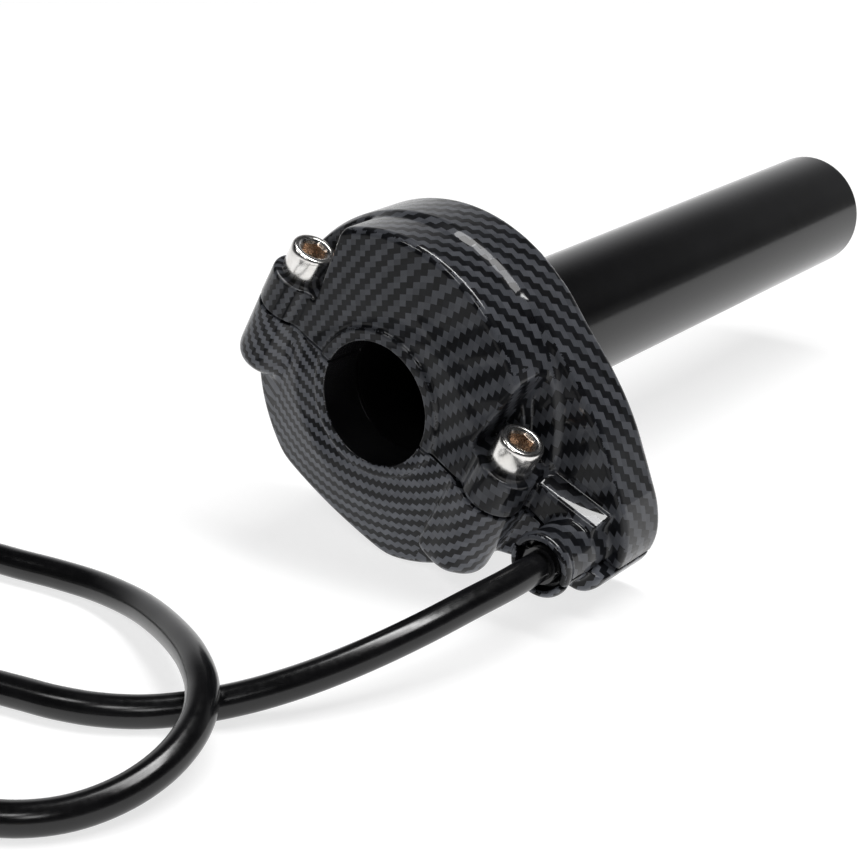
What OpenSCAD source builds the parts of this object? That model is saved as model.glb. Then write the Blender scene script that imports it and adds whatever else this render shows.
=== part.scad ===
// Twist throttle for a motorcycle handlebar, with its control cable.
// The origin is the centre of the handlebar bore on the inboard face of the housing.
// +X runs along the handlebar to its free end, +Z is up, and the cable leaves on the -Y side.

/* [Handlebar clamp] */
// Radius of the bore that clamps the handlebar
bar_bore_r = 11.25; // [10.9:0.05:11.4]
// Length of the clamping bore
clamp_length = 9.3; // [9:0.1:9.5]
// Angle of the split between the housing halves, about the handlebar
tilt = 29; // [27:0.5:31]
// Gap between the housing halves before the screws are tightened
split_gap = 0.4; // [0.2:0.1:0.8]

/* [Housing] */
// Outer radius of the round housing
case_r = 31.5; // [31:0.1:32]
// Outboard face of the housing
case_end = 23.5; // [23:0.1:25]
// Where the raised rim of the upper half starts
case_start = 11.5; // [11:0.1:12]
// Radius of the drum cavity
cavity_r = 24.5; // [24:0.1:24.7]
// Outboard wall thickness of the housing
wall = 2.3; // [1.8:0.1:2.5]
// Height of the flat cut across the bottom of the lower half
flat_z = 28.3; // [27.5:0.1:29]

/* [Clamp screws] */
// Distance of each screw from the handlebar axis
screw_offset = 25.7; // [25.4:0.1:26]
// Distance of the screws from the inboard face
screw_x = 4.1; // [3.9:0.1:4.2]
// Height of the seat under the screw heads
seat_z = 7.5; // [7:0.1:8]
// Radius of the screw heads
head_r = 4.1; // [3.8:0.05:4.2]
// Height of the screw heads
head_h = 5.9; // [5:0.1:6.5]
// Radius of the screw shanks
shank_r = 2.5; // [2:0.05:2.5]
// Radius of the bosses round the screws
boss_r = 5.6; // [5.2:0.1:5.8]

/* [Throttle tube] */
// Outer radius of the tube, where the rubber grip goes
tube_r = 12.6; // [12.4:0.05:12.8]
// Radius of the tube's bore, which turns on the handlebar
tube_bore_r = 11.4; // [11.4:0.05:11.6]
// Free end of the tube
tube_end = 161.6; // [140:1:175]
// Radius of the drum's flanges
drum_r = 23; // [22.5:0.1:23.3]
// Radius at which the wire's centre line winds on the drum
wind_r = 20; // [20:20]
// Middle of the wire groove
groove_x = 15; // [15:15]

/* [Cable] */
// Outer diameter of the cable
cable_d = 5.3; // [5:0.1:5.4]
// Diameter of the inner wire
wire_d = 1.5; // [1.2:0.1:1.6]
// Radius of the bend in the guide tube
elbow_r = 8.5; // [8.5:8.5]
// Middle radius of the stored coil
coil_r = 26.5; // [26.5:0.05:27.5]

/* [Hidden] */

far = 200;
round_fn = 128;
small_fn = 48;

// The cable boss lies on the split plane, where the wire's tangent from the drum meets it
boss_y = -wind_r / tan(tilt);
boss_z = -wind_r;
boss_reach = -norm([boss_y, boss_z]);
cable_boss_r = 5.8;
mouth_r = 4.5;
mouth_x = -1.5;
ferrule_r = 3.3;
ferrule_x0 = -1;
ferrule_x1 = 6;
guide_r = 1.9;
guide_bore_r = 1;
fit_gap = 0.05;
elbow_y = boss_y + elbow_r;
elbow_x = groove_x - elbow_r;
guide_end_y = elbow_y + 4;

// Housing details
collar_r = 13.4;
collar_step = 0.5;
face_r = 18.7;
upper_face_drop = 1.6;
lower_face_drop = 5;
lower_case_start = 7.5;
pocket_y = 19.5;
pocket_x = 8.4;
pocket_round_r = 26;
ledge_x = 8;
ledge_z = 7.2;
left_boss_depth = 14;
right_boss_depth = 16.5;
tube_clearance = 0.35;
front_r = 30.7;
insert_r = 3.3;
insert_depth = 10.5;
shank_length = 18;
upper_ear = [
    [0, -1], [-12, 28.6], [-22.7, 25.1], [-29.4, 22.6], [-31.6, 21.5], [-33.2, 20.3],
    [-46, 8.7], [-48.4, 4.9], [-49.5, 1.8], [-49.5, -1]
];
lower_ear = [
    [0, 1], [-49.5, 1], [-49.3, -2.6], [-48, -5], [-45, -6.8], [-37, -8], [-28, -13]
];

// Drum and wire
drum_x0 = 10.3;
drum_x1 = 20.6;
drum_seat_r = 12.15;
shoulder_x = case_end + 0.2;
floor_r = wind_r - wire_d / 2 - 0.05;
groove_w = 2.6;
nipple_angle = 20;
nipple_r = 2.5;
nipple_x0 = 12;
nipple_x1 = 18;
end_round = 0.8;

// Stored coil and the far end of the cable, on the surface that the housing stands on
ground_z = -case_r;
coil_centre = [-125.35, 43.5];
coil_half_w = 6;
coil_h = 2 * cable_d;
exit_x = coil_centre.x - coil_r - cable_d / 2;
sheath_end = 27;
sleeve_end = 43;
sleeve_r = 2.8;
boot_start = 31;
boot_end = 43;
boot_r = 4.5;
hex_end = 47.5;
hex_r = 5.2;
thread_r = 3;
relief_r = 2.55;
thread_end = 58.5;
adjuster_bore_r = 1.1;
nut_start = 49.5;
nut_end = 52;
far_wire_start = 56.5;
far_wire_end = 87;
carb_nipple_r = 2;
carb_nipple_h = 4;
far_end_z = ground_z + hex_r * sin(60);

// Route of the cable from the housing to the coil. It drops to the ground, turns back in a wide
// loop, passes over itself in a long low hump, and climbs on to the coil.
cable_route = [
    [ferrule_x0, boss_y, boss_z], [-9, -35.8, -20.2], [-18, -34.4, -20.8], [-27, -32.4, -21.9],
    [-35, -29.6, -23.3], [-42, -26.2, -24.8], [-48, -22.4, -26.2], [-53.5, -18, -27.5],
    [-59, -12.8, -28.5], [-64, -7.6, -28.85], [-68, -1.4, -28.85], [-70.5, 5.4, -28.85],
    [-72, 12.4, -28.85], [-73.8, 20, -28.85], [-77.2, 29, -28.85], [-82.3, 37.6, -28.85],
    [-86.6, 44.4, -28.85], [-87.8, 51.5, -28.85], [-86.2, 59.9, -28.85], [-81.9, 66.7, -28.85],
    [-75.2, 71.9, -28.85], [-67, 74.2, -28.85], [-58.4, 73.3, -28.85], [-50.9, 69.2, -28.85],
    [-45.2, 62.6, -28.85], [-42.6, 55, -28.85], [-41.3, 46.8, -28.85], [-39.9, 38, -28.8],
    [-39.5, 28.5, -28.5], [-41.6, 17.5, -27.4], [-46, 6.8, -25.7], [-51.8, -4, -23.9],
    [-57.2, -12.2, -23], [-61.7, -17.5, -23.4], [-67.9, -21.8, -24.5], [-75.4, -23.8, -26],
    [-83.2, -23.1, -27.4], [-90.3, -19.8, -28.4], [-95.8, -14.3, -28.8], [-99.1, -7.2, -28.85],
    [-100.1, 1, -28.85], [-100.1, 9.5, -28.85], [-99.3, 20, -28.85], [-97.6, 31, -28.85],
    [coil_centre.x + coil_r + cable_d / 2, coil_centre.y, -28.85]
];
cable_sides = 10;

// Points of a smooth curve through the route, n steps to each stretch
function spline(a, b, c, d, t) =
    0.5 * (2 * b + (c - a) * t + (2 * a - 5 * b + 4 * c - d) * t * t
        + (3 * b - a - 3 * c + d) * t * t * t);
function clamped(i, n) = max(0, min(n - 1, i));
function smooth_route(p, n) = [
    for (i = [0 : len(p) - 2]) for (k = [0 : n - 1])
        spline(p[clamped(i - 1, len(p))], p[i], p[i + 1], p[clamped(i + 2, len(p))], k / n),
    p[len(p) - 1]
];
function unit(v) = v / norm(v);
function tangent(p, i) = unit(p[clamped(i + 1, len(p))] - p[clamped(i - 1, len(p))]);

// A closed tube of the given radius and sides round the points of a path that stays fairly level
module swept_tube(path, r, sides) {
    rings = [
        for (i = [0 : len(path) - 1]) let (
            t = tangent(path, i),
            side = unit(cross([0, 0, 1], t)),
            up = cross(t, side)
        ) for (k = [0 : sides - 1])
            path[i] + r * (cos(360 * k / sides) * side + sin(360 * k / sides) * up)
    ];
    last = len(path) - 1;
    polyhedron(
        points = rings,
        faces = concat(
            [[for (k = [sides - 1 : -1 : 0]) k]],
            [[for (k = [0 : sides - 1]) last * sides + k]],
            [for (i = [0 : last - 1]) for (k = [0 : sides - 1]) [
                i * sides + k, i * sides + (k + 1) % sides,
                (i + 1) * sides + (k + 1) % sides
            ]],
            [for (i = [0 : last - 1]) for (k = [0 : sides - 1]) [
                i * sides + k, (i + 1) * sides + (k + 1) % sides,
                (i + 1) * sides + k
            ]]
        )
    );
}

// Turns a profile of [radius, distance along X] round the handlebar axis
module around_bar() {
    rotate([0, 90, 0])
        rotate_extrude($fn = round_fn)
            children();
}

// A cylinder along X
module rod_x(r, x0, x1, fn = round_fn) {
    translate([x0, 0, 0])
        rotate([0, 90, 0])
            cylinder(r = r, h = x1 - x0, $fn = fn);
}

// A cylinder along Y
module rod_y(r, y0, y1, fn = small_fn) {
    translate([0, y0, 0])
        rotate([-90, 0, 0])
            cylinder(r = r, h = y1 - y0, $fn = fn);
}

// Extrudes an outline in the Y-Z plane from x0 to x1
module plate_x(x0, x1) {
    translate([x0, 0, 0])
        rotate([90, 0, 90])
            linear_extrude(x1 - x0)
                children();
}

// Box from x0 to x1, y0 to y1 and z0 to z1
module box(x0, x1, y0, y1, z0, z1) {
    translate([x0, y0, z0])
        cube([x1 - x0, y1 - y0, z1 - z0]);
}

// The housing is drawn with its split plane level, then turned to its angle on the bar
module tilted() {
    rotate([tilt, 0, 0])
        children();
}

// Round body of a housing half: raised collar, flat face, a face that slopes back, then a step up
// to the drum case
module round_body(drop, step_x) {
    around_bar()
        polygon([
            [0, 0], [collar_r, 0], [collar_r + 0.3, collar_step], [face_r, collar_step],
            [front_r, drop], [front_r, step_x], [case_r, step_x], [case_r, case_end],
            [0, case_end]
        ]);
}

// Post for one clamp screw
module screw_post(side, z0, z1) {
    translate([screw_x, side * screw_offset, z0])
        cylinder(r = boss_r, h = z1 - z0, $fn = small_fn);
}

module cable_boss() {
    translate([0, boss_reach, 0])
        rod_x(cable_boss_r, mouth_x, case_start + 1, small_fn);
}

// Drum cavity, bores and wire way, cut from both halves
module hollows() {
    rod_x(bar_bore_r, -1, clamp_length + 1);
    rod_x(cavity_r, clamp_length, case_end - wall);
    rod_x(tube_r + tube_clearance, case_end - wall - 1, case_end + 1);
    translate([0, boss_y, boss_z]) {
        rod_x(mouth_r, mouth_x - 1, 0.8, small_fn);
        rod_x(ferrule_r + fit_gap, 0.7, ferrule_x1 + fit_gap, small_fn);
        rod_x(guide_r + fit_gap, ferrule_x1, elbow_x, small_fn);
    }
    translate([elbow_x, elbow_y, boss_z])
        elbow_arc(guide_r + fit_gap);
    translate([groove_x, 0, boss_z])
        rod_y(guide_r + fit_gap, elbow_y, 0);
}

// Quarter bend that joins a run along Y to a run along X
module elbow_arc(r) {
    rotate([0, 0, -90])
        rotate_extrude(angle = 90, $fn = round_fn)
            translate([elbow_r, 0])
                circle(r = r, $fn = small_fn);
}

// Room over the screws, from the inboard side to x1
module screw_pockets(x1) {
    for (side = [-1, 1])
        box(mouth_x - 1, x1, side > 0 ? pocket_y : -far, side > 0 ? far : -pocket_y, seat_z, far);
}

module screw_holes(r, z0, z1) {
    for (side = [-1, 1])
        translate([screw_x, side * screw_offset, z0])
            cylinder(r = r, h = z1 - z0, $fn = small_fn);
}

module upper_housing() {
    color("dimgray")
        difference() {
            tilted()
                difference() {
                    union() {
                        round_body(upper_face_drop, case_start);
                        for (side = [-1, 1])
                            screw_post(side, -1, seat_z);
                        box(ledge_x, case_start + 1, -43, -25, -1, ledge_z);
                        plate_x(case_start, case_end)
                            polygon(upper_ear);
                        cable_boss();
                    }
                    screw_pockets(pocket_x);
                    difference() {
                        screw_pockets(case_start);
                        rod_x(pocket_round_r, -far, far);
                    }
                    screw_holes(shank_r + 0.2, -far, far);
                    box(-far, far, -far, far, -far, split_gap / 2);
                }
            hollows();
        }
}

module lower_housing() {
    color("dimgray")
        difference() {
            tilted()
                difference() {
                    union() {
                        round_body(lower_face_drop, lower_case_start);
                        plate_x(lower_case_start, case_end)
                            polygon(lower_ear);
                        cable_boss();
                        screw_post(1, -left_boss_depth, 1);
                        screw_post(-1, -right_boss_depth, 1);
                    }
                    box(-far, far, -far, far, -far, -flat_z);
                    screw_holes(insert_r + fit_gap, -insert_depth - 2, 2);
                    box(-far, far, -far, far, -split_gap / 2, far);
                }
            hollows();
        }
}

module clamp_screws() {
    color("silver")
        tilted()
            for (side = [-1, 1])
                translate([screw_x, side * screw_offset, seat_z]) {
                    difference() {
                        cylinder(r = head_r, h = head_h, $fn = small_fn);
                        translate([0, 0, head_h - 3])
                            cylinder(r = 2.3, h = 4, $fn = 6);
                    }
                    translate([0, 0, -shank_length])
                        cylinder(r = shank_r, h = shank_length, $fn = small_fn);
                }
}

// Brass inserts that the screws turn into
module screw_inserts() {
    color("goldenrod")
        tilted()
            difference() {
                screw_holes(insert_r, -insert_depth, -1);
                screw_holes(shank_r + fit_gap, -insert_depth - 1, 0);
            }
}

module thrust_washer() {
    color("white")
        difference() {
            rod_x(drum_r - 1, clamp_length + 0.05, clamp_length + 0.75);
            rod_x(tube_r, 0, far);
        }
}

// Plain tube that the rubber grip is pushed on to
module throttle_tube() {
    color("black")
        around_bar()
            polygon([
                [tube_bore_r, drum_x0], [drum_seat_r, drum_x0], [drum_seat_r, shoulder_x],
                [tube_r, shoulder_x], [tube_r, tube_end - end_round],
                [tube_r - end_round / 2, tube_end], [tube_bore_r, tube_end]
            ]);
}

// Drum with the wire's groove and a pocket for the nipple, bonded on the tube's inboard end
module wire_drum() {
    color("black")
        difference() {
            around_bar()
                polygon([
                    [drum_seat_r, drum_x0], [drum_r, drum_x0], [drum_r, groove_x - groove_w / 2],
                    [floor_r, groove_x - groove_w / 2], [floor_r, groove_x + groove_w / 2],
                    [drum_r, groove_x + groove_w / 2], [drum_r, drum_x1], [drum_seat_r, drum_x1]
                ]);
            rotate([nipple_angle, 0, 0])
                translate([0, wind_r, 0])
                    rod_x(nipple_r + 0.1, nipple_x0 - 0.2, far / 2, small_fn);
        }
}

// Wire wound on the drum, from where it leaves for the guide to its nipple
module drum_wire() {
    gap_angle = 2;
    color("lightgray")
        rotate([-90 + gap_angle, 0, 0])
            translate([groove_x, 0, 0])
                rotate([90, 0, 90])
                    rotate_extrude(angle = 90 + nipple_angle - gap_angle - 5, $fn = round_fn)
                        translate([wind_r, 0])
                            circle(d = wire_d, $fn = 24);
}

module drum_nipple() {
    color("gold")
        rotate([nipple_angle, 0, 0])
            translate([0, wind_r, 0])
                rod_x(nipple_r, nipple_x0, nipple_x1, small_fn);
}

// Bent tube that turns the wire from the drum's plane to the cable
module guide_elbow() {
    color("silver")
        difference() {
            guide_run(guide_r, ferrule_x1 + 0.1, guide_end_y);
            guide_run(guide_bore_r, ferrule_x1 - 1, guide_end_y + 1);
        }
}

module guide_run(r, x0, y1) {
    translate([0, boss_y, boss_z])
        rod_x(r, x0, elbow_x, small_fn);
    translate([elbow_x, elbow_y, boss_z])
        elbow_arc(r);
    translate([groove_x, 0, boss_z])
        rod_y(r, elbow_y, y1);
}

module inner_wire_lead() {
    color("lightgray")
        guide_run(wire_d / 2, ferrule_x0 + 2, -1);
}

// Crimped cap on the end of the cable, held between the housing halves
module cable_ferrule() {
    color("black")
        translate([0, boss_y, boss_z])
            difference() {
                rod_x(ferrule_r, ferrule_x0, ferrule_x1, small_fn);
                rod_x(guide_bore_r, ferrule_x0 + 1.5, ferrule_x1 + 1, small_fn);
            }
}

module throttle_cable() {
    color("black")
        swept_tube(smooth_route(cable_route, 1), cable_d / 2, cable_sides);
}

module cable_coil() {
    color("black")
        translate([coil_centre.x, coil_centre.y, ground_z])
            rotate_extrude($fn = round_fn)
                translate([coil_r - coil_half_w, 0])
                    square([2 * coil_half_w, coil_h]);
}

// Strap round the coil's section
module coil_tie() {
    strap = 0.8;
    width = 6;
    color("gray")
        translate([coil_centre.x, coil_centre.y + coil_r, ground_z])
            difference() {
                box(-width / 2, width / 2, -coil_half_w - strap, coil_half_w + strap,
                    0, coil_h + strap);
                box(-width, width, -coil_half_w, coil_half_w, strap, coil_h);
            }
}

// Places what is on the cable's far end, drawn from the coil towards +Y, so that it points to -Y
module at_far_end() {
    translate([exit_x, coil_centre.y, far_end_z])
        rotate([0, 0, 180])
            children();
}

module cable_far_end() {
    color("black")
        at_far_end()
            rod_y(cable_d / 2, 0, sheath_end);
}

module end_ferrule() {
    color("silver")
        at_far_end()
            difference() {
                rod_y(sleeve_r, sheath_end, sleeve_end);
                rod_y(adjuster_bore_r, sheath_end + 1.5, sleeve_end + 1);
            }
}

// Rubber boot over the end of the adjuster
module adjuster_boot() {
    color("black")
        at_far_end()
            difference() {
                union() {
                    rod_y(boot_r - 0.7, boot_start, boot_end);
                    rod_y(boot_r, boot_start + 3, boot_end - 1.5);
                }
                rod_y(sleeve_r + fit_gap, 0, far);
            }
}

module adjuster_barrel() {
    color("silver")
        at_far_end()
            difference() {
                union() {
                    rod_y(hex_r, sleeve_end + fit_gap, hex_end, 6);
                    rod_y(relief_r, hex_end, nut_end + 0.2);
                    rod_y(thread_r, nut_end + 0.2, thread_end);
                }
                rod_y(adjuster_bore_r, 0, far);
            }
}

module adjuster_locknut() {
    color("silver")
        at_far_end()
            difference() {
                rod_y(hex_r, nut_start, nut_end, 6);
                rod_y(relief_r + fit_gap, 0, far);
            }
}

module inner_wire_end() {
    color("lightgray")
        at_far_end()
            rod_y(wire_d / 2, far_wire_start, far_wire_end, 24);
}

// Nipple that hooks into the carburettor's slide
module carb_nipple() {
    color("gold")
        at_far_end()
            rod_y(carb_nipple_r, far_wire_end, far_wire_end + carb_nipple_h);
}

upper_housing();
lower_housing();
clamp_screws();
screw_inserts();
thrust_washer();
throttle_tube();
wire_drum();
drum_wire();
drum_nipple();
guide_elbow();
inner_wire_lead();
cable_ferrule();
throttle_cable();
cable_coil();
coil_tie();
cable_far_end();
end_ferrule();
adjuster_boot();
adjuster_barrel();
adjuster_locknut();
inner_wire_end();
carb_nipple();
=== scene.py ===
import math

import bpy
import numpy as np
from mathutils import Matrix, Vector


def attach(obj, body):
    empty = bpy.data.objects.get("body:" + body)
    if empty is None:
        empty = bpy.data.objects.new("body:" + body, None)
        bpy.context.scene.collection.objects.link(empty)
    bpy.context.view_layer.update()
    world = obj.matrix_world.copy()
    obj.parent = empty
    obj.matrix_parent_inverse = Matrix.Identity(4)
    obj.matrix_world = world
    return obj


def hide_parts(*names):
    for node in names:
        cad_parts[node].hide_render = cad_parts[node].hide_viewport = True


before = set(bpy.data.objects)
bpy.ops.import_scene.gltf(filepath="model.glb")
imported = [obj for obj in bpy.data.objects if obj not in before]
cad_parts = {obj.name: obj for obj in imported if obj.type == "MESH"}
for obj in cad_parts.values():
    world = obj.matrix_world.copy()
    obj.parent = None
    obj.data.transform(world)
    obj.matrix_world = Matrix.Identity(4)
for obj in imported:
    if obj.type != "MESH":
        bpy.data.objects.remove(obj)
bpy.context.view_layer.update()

# Lengths are in millimetres, and add_mesh brings them to metres
MM = 0.001
TILT = math.radians(29)  # of the plane where the two halves part, about the bar
COS_T, SIN_T = math.cos(TILT), math.sin(TILT)
GROUND = -31.5
CABLE_R = 2.65
BOSS_Z = -20.0  # the cable's mouth, in the part's own frame
BOSS_Y = BOSS_Z / math.tan(TILT)
BOSS_REACH = -math.hypot(BOSS_Y, BOSS_Z)  # the same, from the bar along the parting plane


def to_row(x, y, z):
    """Turns points about the bar, from the frame of the parting plane to the part's own."""
    return np.stack([x, COS_T * y - SIN_T * z, SIN_T * y + COS_T * z], axis=-1)



# ---------------------------------------------------------------- camera

cam_data = bpy.data.cameras.new("camera")
cam_data.lens = 80.5
cam_data.sensor_width = 36
cam_data.clip_start = 0.01
cam_data.clip_end = 20
camera = bpy.data.objects.new("camera", cam_data)
bpy.context.collection.objects.link(camera)
camera.location = (-0.2394, -0.1978, 0.1190)
camera.rotation_mode = "QUATERNION"
camera.rotation_quaternion = Vector((0.7345, 0.5687, -0.3703)).to_track_quat("-Z", "Y")
bpy.context.scene.camera = camera


# ---------------------------------------------------------------- mesh helpers

def add_mesh(name, verts, faces, materials, body="housing", face_slots=None, normals=None):
    """A smooth piece of one body, from points in millimetres."""
    mesh = bpy.data.meshes.new(name)
    mesh.from_pydata((np.asarray(verts, float) * MM).tolist(), [], faces)
    for m in materials:
        mesh.materials.append(m)
    if face_slots is not None:
        mesh.polygons.foreach_set("material_index", np.asarray(face_slots, np.int32))
    mesh.shade_smooth()
    if normals is not None:
        mesh.normals_split_custom_set_from_vertices(normals.tolist())
    mesh.update()
    obj = bpy.data.objects.new(name, mesh)
    bpy.context.collection.objects.link(obj)
    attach(obj, body)
    return obj


def loft(rings, closed=False):
    """Quads over rings of equal point counts; the ends are closed by fans unless the loft itself closes."""
    rings = np.asarray(rings, float)
    count, n = rings.shape[:2]
    verts = rings.reshape(-1, 3).tolist()
    faces = []
    for i in range(count if closed else count - 1):
        a, b = i * n, ((i + 1) % count) * n
        faces += [(a + k, a + (k + 1) % n, b + (k + 1) % n, b + k) for k in range(n)]
    if not closed:
        for ring, flip in ((0, True), (count - 1, False)):
            centre = len(verts)
            verts.append(rings[ring].mean(0).tolist())
            for k in range(n):
                p, q = ring * n + k, ring * n + (k + 1) % n
                faces.append((q, p, centre) if flip else (p, q, centre))
    return np.array(verts), faces


def turned(stations, radius, sides, place):
    """Rings at each station of a turned shape; radius(angle, station) may vary with the angle."""
    angle = np.linspace(0, 2 * math.pi, sides, endpoint=False)
    rings = []
    for s in stations:
        r = radius(angle, s)
        rings.append(place(r * np.cos(angle), r * np.sin(angle), s[0] if isinstance(s, tuple) else s))
    return rings


def profile_radius(angle, station):
    return np.full(len(angle), station[1])


def rounded_corner(a, b, c, radius, share, steps):
    """A curve in place of the corner b, which starts no further from it than a share of either side."""
    u, v = a - b, c - b
    lu, lv = np.linalg.norm(u), np.linalg.norm(v)
    cut = min(radius, share * lu, share * lv)
    p, q = b + u / lu * cut, b + v / lv * cut
    return [(1 - t) ** 2 * p + 2 * t * (1 - t) * b + t * t * q for t in np.linspace(0, 1, steps)]


def rounded_profile(points, radius):
    """An open line of (along, across) points with its inner corners rounded."""
    pts = [np.array(p, float) for p in points]
    out = [pts[0]]
    for a, b, c in zip(pts, pts[1:], pts[2:]):
        out += rounded_corner(a, b, c, radius, 0.45, 5)
    out.append(pts[-1])
    return [tuple(p) for p in out]


def sweep(path, radius, sides):
    """Rings round a path in millimetres."""
    path = np.asarray(path, float)
    tangent = np.gradient(path, axis=0)
    tangent /= np.linalg.norm(tangent, axis=1)[:, None]
    angle = np.linspace(0, 2 * math.pi, sides, endpoint=False)
    side = np.cross((0, 0, 1), tangent)
    side /= np.linalg.norm(side, axis=1)[:, None]
    up = np.cross(tangent, side)
    return (path[:, None, :] + radius * (np.cos(angle)[None, :, None] * side[:, None, :]
                                         + np.sin(angle)[None, :, None] * up[:, None, :]))


# ---------------------------------------------------------------- materials

def new_material(name):
    m = bpy.data.materials.new(name)
    m.use_nodes = True
    return m, m.node_tree, m.node_tree.nodes["Principled BSDF"]


def node(tree, kind, **values):
    n = tree.nodes.new(kind)
    for key, value in values.items():
        setattr(n, key, value)
    return n


def math_node(tree, operation, a, b=None):
    """A Math node whose inputs are numbers or other nodes' outputs."""
    n = node(tree, "ShaderNodeMath", operation=operation)
    for socket, value in zip(n.inputs, (a, b)):
        if value is None:
            continue
        if isinstance(value, (int, float)):
            socket.default_value = value
        else:
            tree.links.new(value, socket)
    return n.outputs[0]


def noise(tree, scale, detail=3, rough=0.5, stretch=(1, 1, 1)):
    coords = node(tree, "ShaderNodeTexCoord")
    mapping = node(tree, "ShaderNodeMapping")
    mapping.inputs["Scale"].default_value = stretch
    tex = node(tree, "ShaderNodeTexNoise")
    tex.inputs["Scale"].default_value = scale
    tex.inputs["Detail"].default_value = detail
    tex.inputs["Roughness"].default_value = rough
    tree.links.new(coords.outputs["Object"], mapping.inputs["Vector"])
    tree.links.new(mapping.outputs["Vector"], tex.inputs["Vector"])
    return tex.outputs["Fac"]


def ramp(tree, fac, low, high, a=0.35, b=0.65):
    n = node(tree, "ShaderNodeValToRGB")
    n.color_ramp.elements[0].position = a
    n.color_ramp.elements[1].position = b
    n.color_ramp.elements[0].color = (*low, 1)
    n.color_ramp.elements[1].color = (*high, 1)
    tree.links.new(fac, n.inputs["Fac"])
    return n.outputs["Color"]


def map_range(tree, value, start, stop, low, high, **kind):
    """Brings a value between start and stop to one between low and high."""
    n = node(tree, "ShaderNodeMapRange", **kind)
    for socket, number in (("From Min", start), ("From Max", stop), ("To Min", low), ("To Max", high)):
        n.inputs[socket].default_value = number
    tree.links.new(value, n.inputs["Value"])
    return n.outputs["Result"]


def span(tree, fac, low, high):
    """Spreads a noise, which keeps near its middle, from low to high."""
    return map_range(tree, fac, 0.3, 0.7, low, high)


def bump(tree, height, strength, distance, normal):
    n = node(tree, "ShaderNodeBump")
    n.inputs["Strength"].default_value = strength
    n.inputs["Distance"].default_value = distance * MM
    tree.links.new(height, n.inputs["Height"])
    tree.links.new(n.outputs["Normal"], normal)


def two_colours(tree, fac, low, high):
    n = node(tree, "ShaderNodeMix", data_type="RGBA")
    for socket, colour in (("A", low), ("B", high)):
        if isinstance(colour, tuple):
            n.inputs[socket].default_value = (*colour, 1)
        else:
            tree.links.new(colour, n.inputs[socket])
    tree.links.new(fac, n.inputs["Factor"])
    return n.outputs["Result"]


def surface(name, low, high, rough, scale, metallic=0.0, relief=0.0, grain=None, stretch=(1, 1, 1),
            coat=0.0, specular=0.5):
    """A procedural surface whose colour and roughness vary, with fine relief of its own."""
    m, tree, shader = new_material(name)
    broad = noise(tree, scale, 4, 0.55, stretch)
    tree.links.new(ramp(tree, broad, low, high), shader.inputs["Base Color"])
    fine = noise(tree, scale * 6, 3, 0.6, stretch)
    tree.links.new(span(tree, fine, rough[0], rough[1]), shader.inputs["Roughness"])
    shader.inputs["Metallic"].default_value = metallic
    shader.inputs["Specular IOR Level"].default_value = specular
    shader.inputs["Coat Weight"].default_value = coat
    shader.inputs["Coat Roughness"].default_value = 0.05
    if relief:
        bump(tree, noise(tree, grain or scale * 10, 2, 0.5, stretch), 0.5, relief, shader.inputs["Normal"])
    return m


DARK_TOW, DARK_TOW_HIGH = (0.002, 0.0022, 0.003), (0.01, 0.011, 0.014)
TWILL = 4.0  # threads after which the weave repeats
GREY_SHARE = 1.9  # of those, how many are grey
INBOARD_COAT_PAINTED_SHADE = 0.4  # share of the lacquer kept where a surface faces inboard: painted shade, which dims the reflection there


def carbon_material(name, low, high, coat):
    """A printed twill of dark and grey tows under a thick gloss lacquer, which is thinned on faces turned
    inboard as painted shade; its two coordinates run along and across the diagonal bands."""
    m, tree, shader = new_material(name)
    uv = node(tree, "ShaderNodeUVMap", uv_map="weave")
    split = node(tree, "ShaderNodeSeparateXYZ")
    tree.links.new(uv.outputs["UV"], split.inputs["Vector"])
    along, across = split.outputs["X"], split.outputs["Y"]
    twice = math_node(tree, "MULTIPLY", across, 2.0)
    i = math_node(tree, "FLOOR", math_node(tree, "ADD", along, twice))
    j = math_node(tree, "FLOOR", math_node(tree, "SUBTRACT", along, twice))
    step = math_node(tree, "FLOORED_MODULO", math_node(tree, "SUBTRACT", i, j), TWILL)
    grey = math_node(tree, "LESS_THAN", step, GREY_SHARE)
    cell = node(tree, "ShaderNodeCombineXYZ")
    tree.links.new(i, cell.inputs["X"])
    tree.links.new(j, cell.inputs["Y"])
    chance = node(tree, "ShaderNodeTexWhiteNoise", noise_dimensions="2D")
    tree.links.new(cell.outputs["Vector"], chance.inputs["Vector"])
    threads = math_node(tree, "SINE", math_node(tree, "MULTIPLY", along, 38.0))
    shade = math_node(tree, "ADD", math_node(tree, "MULTIPLY", chance.outputs["Value"], 0.55),
                      math_node(tree, "MULTIPLY", threads, 0.06))
    light = two_colours(tree, shade, (low, low * 1.06, low * 1.22), (high, high * 1.05, high * 1.19))
    dark = two_colours(tree, shade, DARK_TOW, DARK_TOW_HIGH)
    tree.links.new(two_colours(tree, grey, dark, light), shader.inputs["Base Color"])
    tree.links.new(span(tree, noise(tree, 900, 3), 0.34, 0.5), shader.inputs["Roughness"])
    shader.inputs["Specular IOR Level"].default_value = 0.08
    # Painted shade: the lacquer is cut back where a surface faces inboard, so those faces reflect less of the
    # bright floor and read darker.
    normal = node(tree, "ShaderNodeSeparateXYZ")
    tree.links.new(node(tree, "ShaderNodeNewGeometry").outputs["Normal"], normal.inputs["Vector"])
    lacquer = map_range(tree, normal.outputs["X"], -0.97, -0.7, coat * INBOARD_COAT_PAINTED_SHADE, coat,
                        interpolation_type="SMOOTHSTEP")
    tree.links.new(lacquer, shader.inputs["Coat Weight"])
    shader.inputs["Coat Roughness"].default_value = 0.035
    shader.inputs["Coat IOR"].default_value = 1.52
    bump(tree, noise(tree, 420, 2, 0.4), 0.25, 0.02, shader.inputs["Coat Normal"])
    return m


# The lower half's copy has grey tows about twice as light as the upper's. That is painted light, for the
# bounce from the floor beneath; the print is the same on both halves.
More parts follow.
